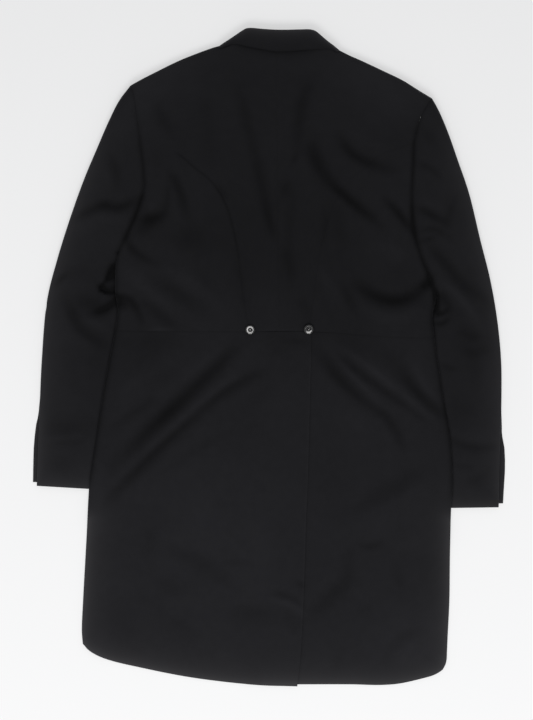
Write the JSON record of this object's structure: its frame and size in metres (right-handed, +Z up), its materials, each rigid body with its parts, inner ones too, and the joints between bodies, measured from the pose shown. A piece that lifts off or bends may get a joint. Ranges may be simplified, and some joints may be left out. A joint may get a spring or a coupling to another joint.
{
  "type": "morning coat",
  "caption": "Wool morning coat laid flat and face down, with a turned down collar, long sleeves, curved back seams, waist buttons and cut away tails that lap at the vent.",
  "frame": {"origin": "middle of the coat in plan, on the surface that it lies on", "axes": "+X across the back, +Y from the hem towards the collar, +Z up from the surface through the front and then the back of the coat"},
  "size_m": [0.7483, 1.0449, 0.0215],
  "materials": {
    "wool": "black wool twill, matt with a faint grey sheen at grazing angles",
    "horn": "polished black horn"
  },
  "bodies": {
    "root": {"back_left": "wool", "back_right": "wool", "side_back_left": "wool", "side_back_right": "wool", "forepart_left": "wool", "forepart_right": "wool", "tail_left": "wool", "tail_right": "wool", "under_sleeve_left": "wool", "under_sleeve_right": "wool", "top_sleeve_left": "wool", "top_sleeve_right": "wool", "collar": "wool", "collar_end_left": "wool", "collar_end_right": "wool", "lapel_left": "wool", "lapel_right": "wool", "waist_button_left": "horn", "waist_button_right": "horn", "front_button": "horn"}
  },
  "joints": []
}
